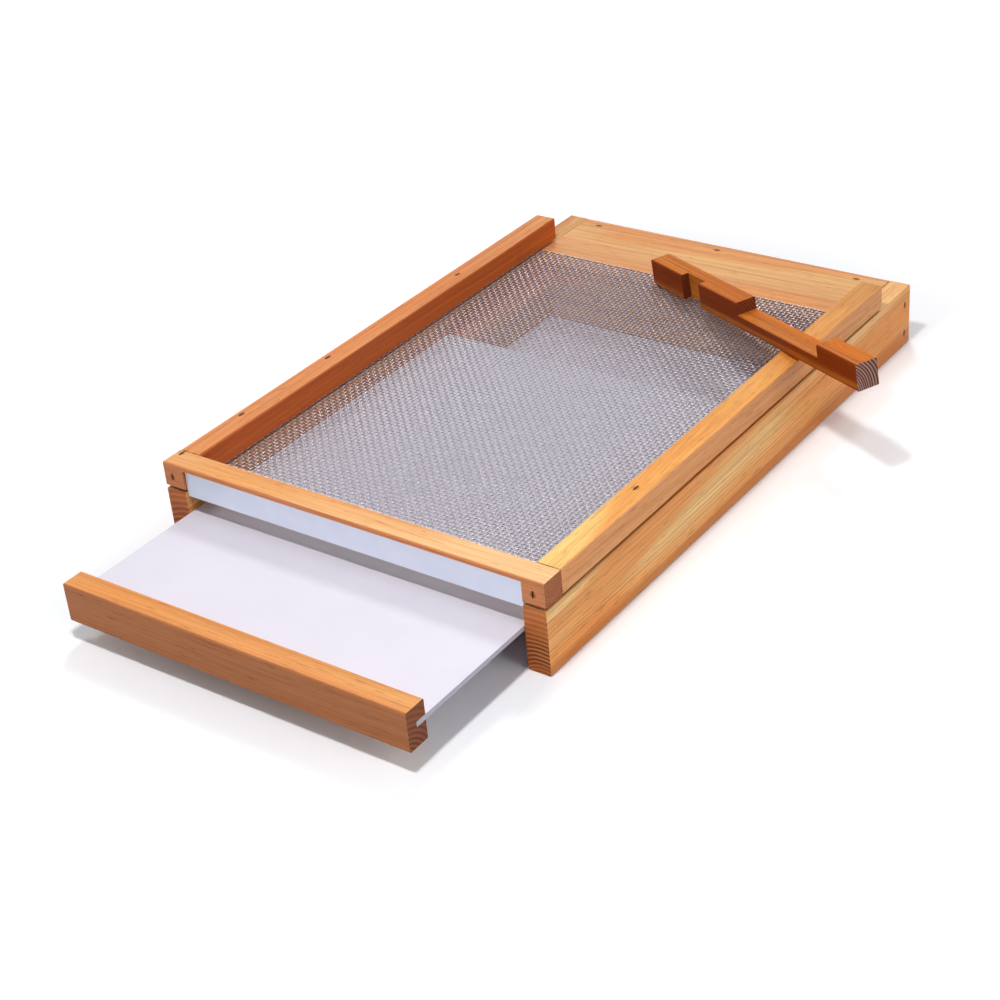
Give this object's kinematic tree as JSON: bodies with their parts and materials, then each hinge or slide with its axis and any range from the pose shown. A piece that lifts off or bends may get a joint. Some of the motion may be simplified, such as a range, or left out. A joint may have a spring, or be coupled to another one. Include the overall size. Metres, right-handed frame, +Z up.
{
  "type": "screened bottom board",
  "caption": "Wooden beehive floor with a wire screen, raised rails, a landing board, a pull-out tray with a wooden handle and a loose entrance reducer.",
  "frame": {"origin": "on the ground under the middle of the entrance rail's underside", "axes": "+Z up, +Y out of the entrance along the board's length, +X to the right when looking in the +Y direction"},
  "size_m": [0.4321, 0.69, 0.1107],
  "materials": {
    "pine": "wax-dipped planed pine",
    "handle_wood": "wax-dipped planed pine, darker",
    "reducer_wood": "wax-dipped planed pine, reddish",
    "tray_plastic": "white sheet with a faint lavender tint",
    "zinc_strip": "bright galvanised sheet",
    "screen_wire": "galvanised woven wire",
    "staple_steel": "dulled staple wire"
  },
  "bodies": {
    "frame": {"side_board_left": "pine", "side_board_right": "pine", "entrance_rail": "pine", "landing_board": "pine", "cross_rail": "pine", "tray_runner_left": "pine", "tray_runner_right": "pine", "raised_rail_left": "pine", "raised_rail_right": "pine", "back_rail": "pine", "screen": "screen_wire", "metal_strip": "zinc_strip", "staple_rail_left_1": "staple_steel", "staple_rail_left_2": "staple_steel", "staple_rail_left_3": "staple_steel", "staple_rail_right_1": "staple_steel", "staple_rail_right_2": "staple_steel", "staple_landing_1": "staple_steel", "staple_landing_2": "staple_steel", "staple_landing_3": "staple_steel", "staple_side_left_1": "staple_steel", "staple_side_left_2": "staple_steel", "staple_side_right_1": "staple_steel", "staple_side_right_2": "staple_steel", "staple_back_left": "staple_steel", "staple_back_right": "staple_steel", "staple_back_top": "staple_steel"},
    "tray": {"tray_sheet": "tray_plastic", "tray_handle": "handle_wood"},
    "reducer": {"entrance_reducer": "reducer_wood"}
  },
  "joints": [
    {"name": "tray_slide", "type": "slide", "parent": "frame", "child": "tray", "axis": [0, 1, 0], "range_m": [-0.29, 0.1273]},
    {"name": "reducer_lift", "type": "slide", "parent": "frame", "child": "reducer", "axis": [0, 0, 1], "range_m": [0, 0.15]}
  ]
}
